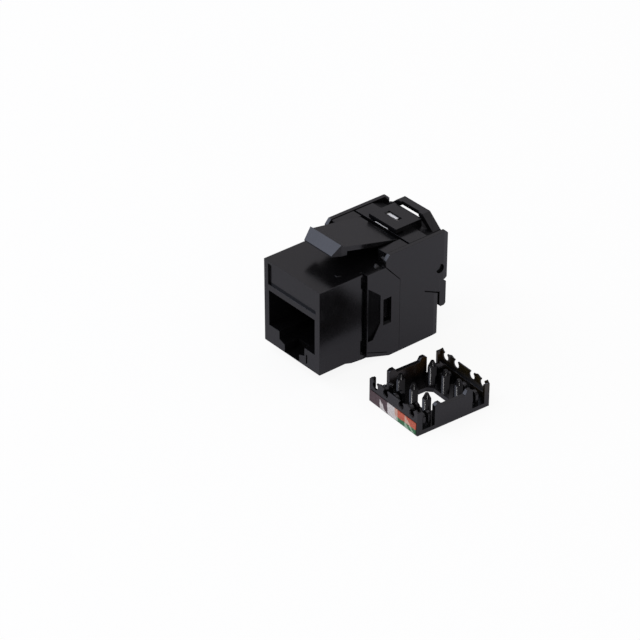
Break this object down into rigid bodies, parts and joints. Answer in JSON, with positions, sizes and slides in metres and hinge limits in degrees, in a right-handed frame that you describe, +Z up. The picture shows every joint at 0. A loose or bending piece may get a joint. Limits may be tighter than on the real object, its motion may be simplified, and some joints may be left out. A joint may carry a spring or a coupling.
{
  "type": "keystone jack",
  "caption": "Black unshielded keystone jack with a modular port, a raised panel latch and a hinged rear cover, beside its loose lacing cap.",
  "frame": {"origin": "middle of the flat underside that the jack rests on", "axes": "+Z up, -Y out of the port towards the plug, +X to the right when the port is faced from behind it"},
  "size_m": [0.0376, 0.0274, 0.0223],
  "materials": {
    "housing": "satin black moulded plastic",
    "latch": "satin black moulded plastic",
    "cap": "satin black moulded plastic",
    "inner": "matt black moulded plastic",
    "gold": "gold plated",
    "tin": "tin plated",
    "board": "green solder mask",
    "label": "printed paper with colour fields and no letters"
  },
  "bodies": {
    "jack": {"front_housing": "housing", "rear_housing": "housing", "contact_carrier": "inner", "port_contact_1": "gold", "port_contact_2": "gold", "port_contact_3": "gold", "port_contact_4": "gold", "port_contact_5": "gold", "port_contact_6": "gold", "port_contact_7": "gold", "port_contact_8": "gold", "circuit_board": "board", "idc_block": "inner", "idc_terminal_1": "tin", "idc_terminal_2": "tin", "idc_terminal_3": "tin", "idc_terminal_4": "tin", "idc_terminal_5": "tin", "idc_terminal_6": "tin", "idc_terminal_7": "tin", "idc_terminal_8": "tin", "lacing_cap": "cap", "label_near": "label", "label_far": "label"},
    "latch": {"panel_latch": "latch"},
    "cover": {"rear_cover": "housing"}
  },
  "joints": [
    {"name": "latch_hinge", "type": "hinge", "parent": "jack", "child": "latch", "pos_m": [0, -0.0017, 0.01885], "axis": [1, 0, 0], "range_deg": [0, 10], "stiffness_Nm_per_rad": 0.1},
    {"name": "cover_hinge", "type": "hinge", "parent": "jack", "child": "cover", "pos_m": [0, 0.0057, 0.0128], "axis": [-1, 0, 0], "range_deg": [0, 95]}
  ]
}
